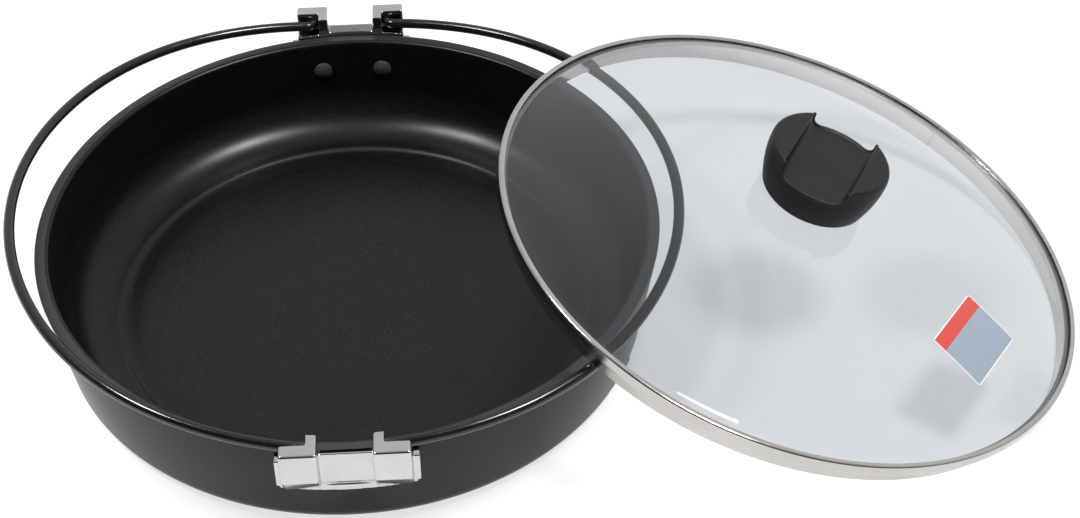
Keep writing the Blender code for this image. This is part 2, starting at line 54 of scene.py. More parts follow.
# %% [markdown]
# ## Measures from the frame
# Sizes are read from the solids where that is possible. The pan stands on the origin, so its box gives
# its radius and height. The lid leans, so its axis isn't along Z: the band is a ring, and the direction
# in which a ring's points spread least is its axis. NumPy's singular value decomposition finds it.

# %% Read the pan's size and the lid's place


def node_points(name):
    """The corner points of a frame node."""
    return np.array([vert.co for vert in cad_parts[name].data.vertices])


def lid_placement(skirt_depth):
    """Matrix from the lid's own frame, +X downhill and z = 0 at the band's seat, to the pot's."""
    points = node_points("lid_band")
    middle = points.mean(axis=0)
    axis = np.linalg.svd(points - middle)[2][2]
    axis = axis * math.copysign(1.0, axis[2])
    lowest = ((points - middle) @ axis).min()
    seat = Vector(middle + axis * (lowest + skirt_depth))
    heading = math.atan2(axis[1], axis[0])
    tilt = math.acos(axis[2])
    turn = Matrix.Rotation(heading, 4, "Z") @ Matrix.Rotation(tilt, 4, "Y")
    return Matrix.Translation(seat) @ turn, heading, tilt


RIM_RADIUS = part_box("pan_shell")[1].x
PAN_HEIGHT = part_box("pan_shell")[1].z
SKIRT_DEPTH = 8.6 * MM
LID, LID_HEADING, LID_TILT = lid_placement(SKIRT_DEPTH)
print(f"rim radius {RIM_RADIUS / MM:.1f} mm, height {PAN_HEIGHT / MM:.1f} mm")
print(f"lid heading {math.degrees(LID_HEADING):.2f}, tilt {math.degrees(LID_TILT):.2f} degrees")

# %% [markdown]
# ## Helpers for meshes
# A piece can be modelled with modifiers or in a bmesh. Either way it ends as one plain mesh in an object
# at the origin, because the frame places every piece that way. `settle` does this for modifiers. `turned`
# and `drawn_out` make the two basic solids, and `carved` cuts one out of another. `add_piece` names a
# piece, shades it and ties it to its body.

# %% Mesh helpers


def bare_object(name, mesh):
    """An object at the origin."""
    made = bpy.data.objects.new(name, mesh)
    bpy.context.scene.collection.objects.link(made)
    return made


def settle(thing):
    """Replace an object and its modifiers by its evaluated mesh."""
    graph = bpy.context.evaluated_depsgraph_get()
    mesh = bpy.data.meshes.new_from_object(thing.evaluated_get(graph))
    bpy.data.objects.remove(thing)
    return mesh


def outward(mesh, merge=0.01 * MM):
    """Merge doubles and turn every face outwards."""
    work = bmesh.new()
    work.from_mesh(mesh)
    bmesh.ops.remove_doubles(work, verts=work.verts, dist=merge)
    bmesh.ops.recalc_face_normals(work, faces=work.faces)
    work.to_mesh(mesh)
    work.free()
    return mesh


def finished(name, work):
    """The mesh in a bmesh, which is then freed."""
    mesh = bpy.data.meshes.new(name)
    work.to_mesh(mesh)
    work.free()
    return mesh


def add_piece(name, mesh, body, nodes, materials=(), sharp=35):
    """A finished piece: shaded, given its materials, tied to a body and shown in place of its nodes."""
    mesh.shade_smooth()
    mesh.set_sharp_from_angle(angle=math.radians(sharp))
    for made in materials:
        mesh.materials.append(made)
    piece = bare_object(name, mesh)
    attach(piece, body)
    if nodes:
        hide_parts(*nodes)
    print(f"{name}: {len(mesh.polygons)} faces on {body}")
    return piece


def arc(middle, radius, start, end, count):
    """Points on an arc in degrees, both ends included."""
    angles = np.radians(np.linspace(start, end, count + 1))
    return [(middle[0] + radius * math.cos(a), middle[1] + radius * math.sin(a)) for a in angles]


def turned(name, outline, steps):
    """A solid of revolution from (radius, height) points that start and end on the axis."""
    work = bmesh.new()
    verts = [work.verts.new((radius, 0.0, height)) for radius, height in outline]
    edges = [work.edges.new(pair) for pair in zip(verts, verts[1:])]
    bmesh.ops.spin(work, geom=verts + edges, cent=(0, 0, 0), axis=(0, 0, 1), angle=math.tau, steps=steps,
                   use_merge=True)
    return outward(finished(name, work))


def drawn_out(name, corners, along):
    """A prism: a face through the corners, drawn out along a vector."""
    work = bmesh.new()
    face = work.faces.new([work.verts.new(corner) for corner in corners])
    moved = bmesh.ops.extrude_face_region(work, geom=[face])["geom"]
    verts = [item for item in moved if isinstance(item, bmesh.types.BMVert)]
    bmesh.ops.translate(work, verts=verts, vec=along)
    return outward(finished(name, work))


def carved(name, mesh, cutter_mesh):
    """A mesh with another one cut out of it."""
    body = bare_object(name, mesh)
    cutter = bare_object(f"{name}_cutter", cutter_mesh)
    cut = body.modifiers.new("cut", "BOOLEAN")
    cut.operation = "DIFFERENCE"
    cut.object = cutter
    result = settle(body)
    bpy.data.objects.remove(cutter)
    return result


# %% [markdown]
# ## Helpers for shader nodes
# A material is a small graph. `Graph` keeps the code short: it adds a node, sets its inputs and links
# them in one call, in a material or in a shader node group.

# %% A short way to write shader graphs


class Graph:
    """Adds nodes to a node tree. An input given as a socket is linked, and anything else is its value."""

    def __init__(self, tree):
        self.tree = tree

    def add(self, kind, inputs=None, **settings):
        node = self.tree.nodes.new(kind)
        for name, value in settings.items():
            setattr(node, name, value)
        for name, value in (inputs or {}).items():
            self.feed(node, name, value)
        return node

    def feed(self, node, name, value):
        if isinstance(value, bpy.types.NodeSocket):
            self.tree.links.new(value, node.inputs[name])
        else:
            node.inputs[name].default_value = value

    def math(self, operation, first, second=0.0):
        node = self.add("ShaderNodeMath", {0: first, 1: second}, operation=operation)
        return node.outputs[0]

    def ranged(self, value, low, high, to_low=0.0, to_high=1.0):
        inputs = {"Value": value, "From Min": low, "From Max": high, "To Min": to_low, "To Max": to_high}
        return self.add("ShaderNodeMapRange", inputs).outputs["Result"]

    def blend(self, share, first, second):
        node = self.add("ShaderNodeMix", data_type="RGBA")
        for index, value in ((0, share), (6, first), (7, second)):
            self.feed(node, index, value)
        return node.outputs[2]

    def noise(self, point, scale, detail=2.0, distortion=0.0):
        inputs = {"Vector": point, "Scale": scale, "Detail": detail, "Distortion": distortion}
        return self.add("ShaderNodeTexNoise", inputs).outputs["Fac"]


def new_group(name, inputs, outputs):
    """An empty shader node group with float sockets, its graph, its inputs and its output node."""
    tree = bpy.data.node_groups.new(name, "ShaderNodeTree")
    for label, value in inputs.items():
        socket = tree.interface.new_socket(label, in_out="INPUT", socket_type="NodeSocketFloat")
        socket.default_value = value
    for label in outputs:
        tree.interface.new_socket(label, in_out="OUTPUT", socket_type="NodeSocketFloat")
    graph = Graph(tree)
    return graph, graph.add("NodeGroupInput").outputs, graph.add("NodeGroupOutput")


def placed(graph, group, **inputs):
    """A shader group's outputs inside a material."""
    node = graph.add("ShaderNodeGroup", node_tree=group)
    for name, value in inputs.items():
        graph.feed(node, name.replace("_", " "), value)
    return node.outputs


def new_material(name, **inputs):
    """A material with a Principled shader whose plain inputs are set, its graph and that shader."""
    made = bpy.data.materials.new(name)
    made.use_nodes = True
    shader = made.node_tree.nodes["Principled BSDF"]
    for label, value in inputs.items():
        shader.inputs[label.replace("_", " ")].default_value = value
    return made, Graph(made.node_tree), shader


def bump(graph, shader, height, strength, depth):
    """Feed a height into the shader's normal."""
    node = graph.add("ShaderNodeBump", {"Height": height, "Strength": strength, "Distance": depth})
    graph.feed(shader, "Normal", node.outputs["Normal"])


# %% [markdown]
# ## Shared surface effects
# Several finishes here share three effects. `grain` is the fine orange peel of a sprayed or moulded
# surface, with rare bright flecks in it. `handling` is the slow change of gloss that hands and cloths
# leave. `turning` is the set of hair-fine rings that a lathe or a polishing wheel leaves round an axis.
# Each is one node group, used in several materials with its own values.

# %% Grain, handling and turning groups
DOT_FINENESS = 1.7                  # flecks are this much finer than the grain
DOT_EDGE = 0.06                     # softness of a fleck's edge
CLOUD_SCALE = 14.0
STREAK_FINENESS = 9.0               # streaks are this much finer than smears
STREAK_SHARE = 0.25


def object_point(graph):
    return graph.add("ShaderNodeTexCoord").outputs["Object"]


def make_grain():
    """Height of a fine grain, a mask of small flecks, and a slow cloud."""
    inputs = {"Scale": 900.0, "Flecks": 0.68}
    graph, given, result = new_group("grain", inputs, ("Height", "Fleck", "Cloud"))
    point = object_point(graph)
    dots = graph.noise(point, graph.math("MULTIPLY", given["Scale"], DOT_FINENESS), 1.0)
    edge = graph.math("ADD", given["Flecks"], DOT_EDGE)
    graph.feed(result, "Height", graph.noise(point, given["Scale"]))
    graph.feed(result, "Fleck", graph.ranged(dots, given["Flecks"], edge))
    graph.feed(result, "Cloud", graph.noise(point, CLOUD_SCALE, 3.0))
    return graph.tree


def make_handling():
    """Roughness that wanders between two values in broad smears with a few finer streaks."""
    inputs = {"Low": 0.2, "High": 0.3, "Scale": 12.0}
    graph, given, result = new_group("handling", inputs, ("Roughness", "Smear"))
    point = object_point(graph)
    broad = graph.noise(point, given["Scale"], 4.0, 0.6)
    fine = graph.noise(point, graph.math("MULTIPLY", given["Scale"], STREAK_FINENESS), 3.0)
    mixed = graph.math("ADD", graph.math("MULTIPLY", broad, 1 - STREAK_SHARE),
                       graph.math("MULTIPLY", fine, STREAK_SHARE))
    smear = graph.ranged(mixed, 0.35, 0.65)
    graph.feed(result, "Smear", smear)
    graph.feed(result, "Roughness", graph.ranged(smear, 0.0, 1.0, given["Low"], given["High"]))
    return graph.tree


def make_turning():
    """Fine rings round Z of the point that is handed in."""
    graph, given, result = new_group("turning", {"Scale": 2500.0}, ("Rings",))
    socket = graph.tree.interface.new_socket("Point", in_out="INPUT", socket_type="NodeSocketVector")
    point = graph.tree.nodes["Group Input"].outputs[socket.name]
    split = graph.add("ShaderNodeSeparateXYZ", {"Vector": point})
    squares = graph.math("ADD", graph.math("MULTIPLY", split.outputs["X"], split.outputs["X"]),
                         graph.math("MULTIPLY", split.outputs["Y"], split.outputs["Y"]))
    reach = graph.math("SQRT", squares)
    where = graph.add("ShaderNodeCombineXYZ", {"X": reach, "Y": split.outputs["Z"]})
    graph.feed(result, "Rings", graph.noise(where.outputs["Vector"], given["Scale"]))
    return graph.tree


GRAIN = make_grain()
HANDLING = make_handling()
TURNING = make_turning()
print("shared effects:", [tree.name for tree in (GRAIN, HANDLING, TURNING)])


def lid_point(graph):
    """Object coordinates turned into the lid's own frame."""
    inputs = {"Vector": object_point(graph), "Location": LID.translation, "Rotation": LID.to_euler()}
    return graph.add("ShaderNodeMapping", inputs, vector_type="TEXTURE").outputs["Vector"]


# %% [markdown]
# ## The pan's finishes
# Inside, the pan has a dark non-stick coat with a fine grain and tiny lighter flecks. Outside it has a
# smoother satin coat. Both are nearly black, so the grain shows mostly as small changes of gloss. The
# flecks go in the colour, and the grain goes in the bump. The rivets, wires and knob have coats of the
# same kind, so one function makes them all.

# %% Pan coatings


def dark_coat(name, level, grain, gloss, grounds, fleck, relief):
    """A dark coat. grain is its scale and fleck threshold, gloss its two roughnesses and their scale,
    grounds two base tones, and relief the bump's strength and depth."""
    made, graph, shader = new_material(name, Specular_IOR_Level=level)
    spots = placed(graph, GRAIN, Scale=grain[0], Flecks=grain[1])
    marks = placed(graph, HANDLING, Low=gloss[0], High=gloss[1], Scale=gloss[2])
    ground = graph.blend(spots["Cloud"], (*grounds[0], 1), (*grounds[1], 1))
    graph.feed(shader, "Base Color", graph.blend(spots["Fleck"], ground, (*fleck, 1)))
    graph.feed(shader, "Roughness", marks["Roughness"])
    bump(graph, shader, spots["Height"], *relief)
    return made


PAN_INSIDE = dark_coat("pan_inside_coat", 0.25, grain=(1500.0, 0.62), gloss=(0.28, 0.33, 9.0),
                       grounds=((0.0015, 0.0015, 0.0020), (0.0028, 0.0028, 0.0034)),
                       fleck=(0.028, 0.028, 0.031), relief=(0.22, 0.10 * MM))
PAN_OUTSIDE = dark_coat("pan_outside_coat", 0.5, grain=(1100.0, 0.72), gloss=(0.33, 0.42, 7.0),
                        grounds=((0.014, 0.014, 0.016), (0.019, 0.019, 0.021)),
                        fleck=(0.06, 0.06, 0.065), relief=(0.18, 0.08 * MM))
print("pan coats:", PAN_INSIDE.name, PAN_OUTSIDE.name)

# %% [markdown]
# ## The pan
# A pan like this is die-cast and then turned, so it is a solid of revolution: one section, spun round Z.
# The floor has a low crown, a shallow channel near its edge and a small rise where the wide fillet
# starts. The wall leans out a little, and the rim is a flat ring with softened edges. A spun section is
# simpler than lofting, and it is exact. Faces inside the rim's middle take the coarse coat and the others
# the smooth one.

# %% Spin the pan
BASE_RADIUS = RIM_RADIUS - 6.9 * MM
BASE_FILLET = 9.0 * MM
RIM_INNER = RIM_RADIUS - 6.8 * MM
RIM_ROUND = 2.0 * MM
RIM_EDGE = 0.8 * MM
FLOOR_HEIGHT = 4.6 * MM
FLOOR_RISE = 0.8 * MM               # the floor's middle stands this much higher
WALL_FOOT = RIM_INNER - 1.6 * MM
FLOOR_FILLET = 24.0 * MM
FLOOR_STEP = 0.80 * MM              # small rise where the floor meets the fillet
FLOOR_STEP_WIDTH = 3.0 * MM
CHANNEL_RADIUS = 113.0 * MM         # middle of the shallow channel round the floor
CHANNEL_WIDTH = 9.0 * MM
CHANNEL_DEPTH = 0.9 * MM
PAN_STEPS = 200


def floor_height(radius):
    """Height of the cooking floor, with its low crown and the channel round its edge."""
    crown = FLOOR_RISE * (1 - (radius / CHANNEL_RADIUS) ** 2)
    channel = CHANNEL_DEPTH * math.exp(-((radius - CHANNEL_RADIUS) / (CHANNEL_WIDTH / 2)) ** 2)
    return FLOOR_HEIGHT + crown - channel


def pan_section():
    fillet_start = WALL_FOOT - FLOOR_FILLET
    step_start = fillet_start - FLOOR_STEP_WIDTH
    floor = [(radius, floor_height(radius)) for radius in np.linspace(0, step_start, 40)]
    for share in np.linspace(0, 1, 9)[1:-1]:
        radius = step_start + FLOOR_STEP_WIDTH * share
        floor.append((radius, floor_height(radius) + FLOOR_STEP * share * share * (3 - 2 * share)))
    corner = floor_height(fillet_start) + FLOOR_STEP
    outline = floor + arc((fillet_start, corner + FLOOR_FILLET), FLOOR_FILLET, -90, 0, 24)
    outline += arc((RIM_INNER + RIM_ROUND, PAN_HEIGHT - RIM_ROUND), RIM_ROUND, 180, 90, 6)
    outline += arc((RIM_RADIUS - RIM_EDGE, PAN_HEIGHT - RIM_EDGE), RIM_EDGE, 90, 0, 4)
    outline += arc((BASE_RADIUS - BASE_FILLET, BASE_FILLET), BASE_FILLET, 0, -90, 10)
    return outline + [(BASE_RADIUS / 2, 0.0), (0.0, 0.0)]


def build_pan():
    mesh = turned("pan_casting", pan_section(), PAN_STEPS)
    pan = add_piece("pan_casting", mesh, "pot", ["pan_shell"], [PAN_INSIDE, PAN_OUTSIDE])
    ridge = RIM_RADIUS - (RIM_RADIUS - RIM_INNER) / 2
    for face in mesh.polygons:
        out = math.hypot(face.center.x, face.center.y) > ridge
        face.material_index = int(out or face.center.z < FLOOR_HEIGHT / 2)
    return pan


build_pan()

# %% [markdown]
# ## The rivets
# Four rivets hold the brackets, two at each end of the pan. Only their domed heads show, inside the wall.
# They are one shape repeated by a rule, so Geometry Nodes place them: a line of four points is set by
# index to the four corners, an instance of the head goes on each one, and it is turned to face the pan's
# axis.

# %% Rivet heads by Geometry Nodes
RIVET_ANGLE = math.radians(6.4)
RIVET_DROP = 16.8 * MM
RIVET_HEAD = 4.9 * MM
RIVET_HEAD_HEIGHT = 1.7 * MM
RIVET_SEAT = 141.5 * MM
RIVET_COLLAR = 0.1 * MM             # the small edge between the dome and its collar
RIVET_COLLAR_TOP = 0.12 * MM
RIVET_SHOULDER = 0.3 * MM           # the dome stops this much inside the head's edge
RIVET_SUNK = 1.0 * MM               # the collar goes this far into the pan's wall
RIVET_STEPS = 40


class Recipe(Graph):
    """A Geometry Nodes tree with named inputs."""

    def __init__(self, name, inputs):
        super().__init__(bpy.data.node_groups.new(name, "GeometryNodeTree"))
        face = self.tree.interface
        face.new_socket("Geometry", in_out="INPUT", socket_type="NodeSocketGeometry")
        for label, kind in inputs.items():
            face.new_socket(label, in_out="INPUT", socket_type=f"NodeSocket{kind}")
        face.new_socket("Geometry", in_out="OUTPUT", socket_type="NodeSocketGeometry")
        self.given = self.add("NodeGroupInput").outputs
        self.result = self.add("NodeGroupOutput")

    def end(self, geometry):
        """Realize instances, set the material and hand the geometry out."""
        whole = self.add("GeometryNodeRealizeInstances", {"Geometry": geometry})
        dressed = self.add("GeometryNodeSetMaterial", {"Geometry": whole.outputs[0],
                                                       "Material": self.given["Material"]})
        self.feed(self.result, "Geometry", dressed.outputs[0])
        return self.tree

    def vmath(self, operation, *values):
        node = self.add("ShaderNodeVectorMath", dict(enumerate(values)), operation=operation)
        return node.outputs[0]


def cook(name, mesh, recipe, **inputs):
    """Run a recipe on a mesh and keep the result as a plain mesh."""
    thing = bare_object(name, mesh)
    step = thing.modifiers.new("recipe", "NODES")
    step.node_group = recipe
    for item in recipe.interface.items_tree:
        if item.in_out == "INPUT" and item.name.replace(" ", "_") in inputs:
            step[item.identifier] = inputs[item.name.replace(" ", "_")]
    return settle(thing)


def rivet_recipe():
    """Four copies of a rivet head: index 0 and 1 in front, 2 and 3 behind, left before right."""
    inputs = {"Seat": "Float", "Height": "Float", "Angle": "Float", "Material": "Material"}
    recipe = Recipe("rivet_ring", inputs)
    index = recipe.add("GeometryNodeInputIndex").outputs[0]
    pair = recipe.math("FLOOR", recipe.math("DIVIDE", index, 2.0))
    side = recipe.math("SUBTRACT", recipe.math("MULTIPLY", pair, 2.0), 1.0)
    hand = recipe.math("SUBTRACT", recipe.math("MULTIPLY", recipe.math("MODULO", index, 2.0), 2.0), 1.0)
    across = recipe.math("MULTIPLY", hand, recipe.math("SINE", recipe.given["Angle"]))
    along = recipe.math("MULTIPLY", side, recipe.math("COSINE", recipe.given["Angle"]))
    way = recipe.add("ShaderNodeCombineXYZ", {"X": across, "Y": along}).outputs[0]
    reach = {0: way, "Scale": recipe.given["Seat"]}
    seat = recipe.add("ShaderNodeVectorMath", reach, operation="SCALE").outputs[0]
    rise = recipe.add("ShaderNodeCombineXYZ", {"Z": recipe.given["Height"]}).outputs[0]
    line = recipe.add("GeometryNodeMeshLine", {"Count": 4})
    points = recipe.add("GeometryNodeSetPosition", {"Geometry": line.outputs[0],
                                                    "Position": recipe.vmath("ADD", seat, rise)})
    inwards = recipe.vmath("MULTIPLY", way, (-1.0, -1.0, 0.0))
    facing = recipe.add("FunctionNodeAlignRotationToVector", {"Vector": inwards}, axis="Z")
    heads = recipe.add("GeometryNodeInstanceOnPoints", {"Points": points.outputs[0],
                                                        "Instance": recipe.given["Geometry"],
                                                        "Rotation": facing.outputs[0]})
    return recipe.end(heads.outputs[0])


def rivet_head():
    """A low dome on a short collar, standing on z = 0 and sunk a little below it."""
    sphere = (RIVET_HEAD ** 2 + RIVET_HEAD_HEIGHT ** 2) / (2 * RIVET_HEAD_HEIGHT)
    reach = math.degrees(math.asin((RIVET_HEAD - RIVET_SHOULDER) / sphere))
    dome = arc((0.0, RIVET_HEAD_HEIGHT - sphere), sphere, 90, 90 - reach, 10)
    dome[0] = (0.0, RIVET_HEAD_HEIGHT)
    collar = [(RIVET_HEAD - RIVET_COLLAR, RIVET_COLLAR_TOP), (RIVET_HEAD, -RIVET_COLLAR)]
    collar += [(RIVET_HEAD, -RIVET_SUNK), (0.0, -RIVET_SUNK)]
    return turned("rivet_head", dome + collar, RIVET_STEPS)


RIVET_COAT = dark_coat("rivet_coat", 0.5, grain=(1700.0, 0.62), gloss=(0.22, 0.30, 60.0),
                       grounds=((0.034, 0.034, 0.036), (0.034, 0.034, 0.036)),
                       fleck=(0.12, 0.12, 0.125), relief=(0.25, 0.08 * MM))
RIVETS = ["front_left_rivet", "front_right_rivet", "back_left_rivet", "back_right_rivet"]
rivets = cook("rivet_heads", rivet_head(), rivet_recipe(), Seat=RIVET_SEAT, Height=PAN_HEIGHT - RIVET_DROP,
              Angle=RIVET_ANGLE, Material=RIVET_COAT)
add_piece("rivet_heads", rivets, "pot", RIVETS)

# %% [markdown]
# ## The brackets
# Each bracket is a zinc casting, polished and chromed. Casting and polishing leave soft edges and faces
# that are a little uneven. The frame's solid already has the right form with hard edges, so a copy of it
# is remeshed in small voxels and smoothed. That rounds every edge by about the same small radius, as
# polishing does. Two details are finer than the frame's solid. The middle plate's top slopes down to the
# pan's rim, and a thin lip runs along the foot, curved like the pan's wall.

# %% Chrome and the two castings
VOXEL = 0.36 * MM
CAST_SMOOTHING = 6
SLOPE_REACH = 11.6 * MM             # the sloped top of the middle plate: half its length
SLOPE_OUTER = (154.4 * MM, PAN_HEIGHT + 3.6 * MM)
SLOPE_INNER = (147.0 * MM, PAN_HEIGHT - 0.2 * MM)
SLOPE_ABOVE = PAN_HEIGHT + 8.0 * MM
LIP_INNER = 151.5 * MM
LIP_OUTER = 154.9 * MM
LIP_BOTTOM = PAN_HEIGHT - 19.9 * MM
LIP_TOP = PAN_HEIGHT - 16.4 * MM
LIP_REACH = 11.2                    # degrees to each side of the bracket's middle
LIP_STEPS = 24


def chrome_finish():
    made, graph, shader = new_material("bright_chrome", Metallic=1.0)
    marks = placed(graph, HANDLING, Low=0.05, High=0.13, Scale=70.0)
    waves = placed(graph, GRAIN, Scale=260.0, Flecks=0.7)
    tone = graph.blend(marks["Smear"], (0.48, 0.48, 0.48, 1), (0.535, 0.535, 0.54, 1))
    graph.feed(shader, "Base Color", graph.blend(waves["Fleck"], tone, (0.48, 0.48, 0.475, 1)))
    graph.feed(shader, "Roughness", marks["Roughness"])
    bump(graph, shader, waves["Height"], 0.10, 0.25 * MM)
    return made


def frame_copy(name):
    """A merged copy of a frame node's mesh."""
    return outward(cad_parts[name].data.copy())


def softened(name, mesh, voxel, rounds):
    """A closed mesh remeshed in voxels, then smoothed."""
    thing = bare_object(name, mesh)
    cells = thing.modifiers.new("voxels", "REMESH")
    cells.mode = "VOXEL"
    cells.voxel_size = voxel
    ease = thing.modifiers.new("ease", "SMOOTH")
    ease.factor = 0.5
    ease.iterations = rounds
    return outward(settle(thing))


def slope_cutter(side):
    """What is cut away above the middle plate's sloped top: a prism along X."""
    outline = [SLOPE_OUTER, SLOPE_INNER, (SLOPE_INNER[0], SLOPE_ABOVE), (SLOPE_OUTER[0], SLOPE_ABOVE)]
    corners = [(-SLOPE_REACH, side * out, height) for out, height in outline]
    return drawn_out("slope_cutter", corners, (2 * SLOPE_REACH, 0, 0))


def foot_lip(work, side):
    """Add the curved lip to a bmesh: four corners swept along the pan's wall."""
    corners = [(LIP_INNER, LIP_BOTTOM), (LIP_OUTER, LIP_BOTTOM), (LIP_OUTER, LIP_TOP), (LIP_INNER, LIP_TOP)]
    rows = []
    for angle in np.radians(np.linspace(-LIP_REACH, LIP_REACH, LIP_STEPS)):
        across, out = math.sin(angle), side * math.cos(angle)
        rows.append([work.verts.new((radius * across, radius * out, height)) for radius, height in corners])
    for here, there in zip(rows, rows[1:]):
        for i in range(4):
            work.faces.new((here[i], here[(i + 1) % 4], there[(i + 1) % 4], there[i]))
    work.faces.new(rows[0])
    work.faces.new(rows[-1])


def casting_mesh(end, side):
    """The frame's bracket with its sloped plate and its lip, in one soft skin."""
    work = bmesh.new()
    work.from_mesh(carved(f"{end}_casting", frame_copy(f"{end}_bracket"), slope_cutter(side)))
    foot_lip(work, side)
    bmesh.ops.recalc_face_normals(work, faces=work.faces)
    return softened(f"{end}_casting", finished(f"{end}_casting", work), VOXEL, CAST_SMOOTHING)


CHROME = chrome_finish()
for end, side in (("front", -1), ("back", 1)):
    casting = casting_mesh(end, side)
    casting.materials.clear()
    add_piece(f"{end}_bracket_casting", casting, "pot", [f"{end}_bracket"], [CHROME], 180)

# %% [markdown]
# ## The wire handles
# Each handle is one steel wire, bent into a hoop round the pan, with its two ends turned outwards into
# blind holes in the brackets. A sweep is the natural way to make bent wire: Geometry Nodes turn a line of
# points into a curve and run a circle along it. The hoop is a little oval, so its radius is a mean value
# plus a few gentle waves. The wire is coated in gloss black enamel.

# %% Sweep the two handles
PIVOT_X = 19.5 * MM
PIVOT_RISE = 5.2 * MM
PIVOT_TIP = 160.3 * MM
WIRE_RADIUS = 2.6 * MM
WIRE_BEND = 4.2 * MM
WIRE_MEAN = 157.0 * MM
WIRE_WAVES = ((2, 2.76 * MM), (4, -1.13 * MM), (6, 0.27 * MM))
WIRE_END_REACH = 153.3 * MM
WIRE_TILT = {"left": math.radians(6.0), "right": math.radians(1.9)}
WIRE_SIDES = 24
BEND_STEPS = 10
HOOP_STEPS = 90


def hoop_point(angle):
    radius = WIRE_MEAN + sum(size * math.cos(order * angle) for order, size in WIRE_WAVES)
    return radius * math.cos(angle), radius * math.sin(angle)


def wire_line(hand, tilt):
    """Centre line of a handle: front pivot, bend, hoop, bend, back pivot. hand is -1 left or 1 right."""
    end_angle = math.acos((PIVOT_X + WIRE_BEND) / WIRE_END_REACH)
    end_y = hoop_point(end_angle)[1]
    half = [(PIVOT_X, y) for y in np.linspace(PIVOT_TIP, end_y + WIRE_BEND, 4, endpoint=False)]
    for turn in np.linspace(0, math.pi / 2, BEND_STEPS, endpoint=False):
        half.append((PIVOT_X + WIRE_BEND * (1 - math.cos(turn)), end_y + WIRE_BEND * (1 - math.sin(turn))))
    half += [hoop_point(angle) for angle in np.linspace(end_angle, 0, HOOP_STEPS)]
    whole = half + [(x, -y) for x, y in reversed(half[:-1])]
    height = PAN_HEIGHT + PIVOT_RISE
    line = []
    for x, y in whole:
        out = x - PIVOT_X
        line.append((hand * (PIVOT_X + out * math.cos(tilt)), y, height + out * math.sin(tilt)))
    return line


def line_mesh(name, points, closed=False):
    """A mesh of points joined in a row."""
    mesh = bpy.data.meshes.new(name)
    edges = [(i, i + 1) for i in range(len(points) - 1)]
    if closed:
        edges.append((len(points) - 1, 0))
    mesh.from_pydata([tuple(point) for point in points], edges, [])
    return mesh


def wire_recipe():
    recipe = Recipe("swept_wire", {"Radius": "Float", "Sides": "Int", "Material": "Material"})
    path = recipe.add("GeometryNodeMeshToCurve", {"Mesh": recipe.given["Geometry"]})
    section = recipe.add("GeometryNodeCurvePrimitiveCircle", {"Resolution": recipe.given["Sides"],
                                                              "Radius": recipe.given["Radius"]})
    inputs = {"Curve": path.outputs[0], "Profile Curve": section.outputs[0], "Fill Caps": True}
    sweep = recipe.add("GeometryNodeCurveToMesh", inputs)
    return recipe.end(sweep.outputs[0])


ENAMEL = dark_coat("wire_enamel", 0.5, grain=(420.0, 0.74), gloss=(0.12, 0.24, 45.0),
                   grounds=((0.006, 0.006, 0.0065), (0.006, 0.006, 0.0065)),
                   fleck=(0.03, 0.03, 0.03), relief=(0.10, 0.12 * MM))
SWEEP = wire_recipe()
for hand, name in ((-1, "left"), (1, "right")):
    route = line_mesh(f"{name}_wire", wire_line(hand, WIRE_TILT[name]))
    wire = cook(f"{name}_wire", route, SWEEP, Radius=WIRE_RADIUS, Sides=WIRE_SIDES, Material=ENAMEL)
    add_piece(f"{name}_wire_handle", outward(wire), f"{name}_handle", [f"{name}_handle"])

# %% [markdown]
# ## The lid's glass
# The dome is pressed from tempered glass about 4 mm thick, with a flat edge inside the band and a small
# hole for the knob's screw. Its section is closed, so it can be swept round a circle in Geometry Nodes.
# One recipe makes both the glass and the steel band: it lays the section's x outwards from the ring and
# its y downwards. The glass is a true refracting shader. For shadows and soft bounced light it is simply
# clear, so the table under it stays bright without noise.

# %% Ring recipe, glass section and glass finish
BAND_RADIUS = 146.6 * MM
GLASS_EDGE = 145.6 * MM
GLASS_FLAT = 143.0 * MM
GLASS_UNDER_FLAT = GLASS_FLAT - MM
GLASS_TOP_EDGE = 4.9 * MM
GLASS_THICK = 3.8 * MM
GLASS_APEX = 32.4 * MM
GLASS_SEAT = 21.0 * MM
GLASS_HOLE = 4.0 * MM
GLASS_STEPS = 30
RING_STEPS = 240
GUIDE_RADIUS = 70.0 * MM            # the circle that a section is swept along; any size will do


def ring_recipe():
    recipe = Recipe("swept_ring", {"Radius": "Float", "Steps": "Int", "Material": "Material"})
    path = recipe.add("GeometryNodeCurvePrimitiveCircle", {"Resolution": recipe.given["Steps"],
                                                           "Radius": recipe.given["Radius"]})
    section = recipe.add("GeometryNodeMeshToCurve", {"Mesh": recipe.given["Geometry"]})
    inputs = {"Curve": path.outputs[0], "Profile Curve": section.outputs[0]}
    sweep = recipe.add("GeometryNodeCurveToMesh", inputs)
    return recipe.end(sweep.outputs[0])


RING = ring_recipe()


def ring_mesh(name, outline, steps, material):
    """A closed (radius, height) outline swept round the lid's axis, in the lid's place."""
    section = line_mesh(name, [(radius - GUIDE_RADIUS, -height, 0.0) for radius, height in outline], True)
    mesh = cook(name, section, RING, Radius=GUIDE_RADIUS, Steps=steps, Material=material)
    mesh.transform(LID)
    return outward(mesh)


def dome_height(radius, apex, flat_radius, flat_height):
    """Height of a spherical dome that starts at a flat ring."""
    rise = apex - flat_height
    sphere = (flat_radius ** 2 + rise ** 2) / (2 * rise)
    return apex - sphere + math.sqrt(sphere ** 2 - radius ** 2)


def glass_top(radius):
    return dome_height(radius, GLASS_APEX, GLASS_FLAT, GLASS_TOP_EDGE)


def glass_under(radius):
    return dome_height(radius, GLASS_APEX - GLASS_THICK, GLASS_UNDER_FLAT, GLASS_TOP_EDGE - GLASS_THICK)


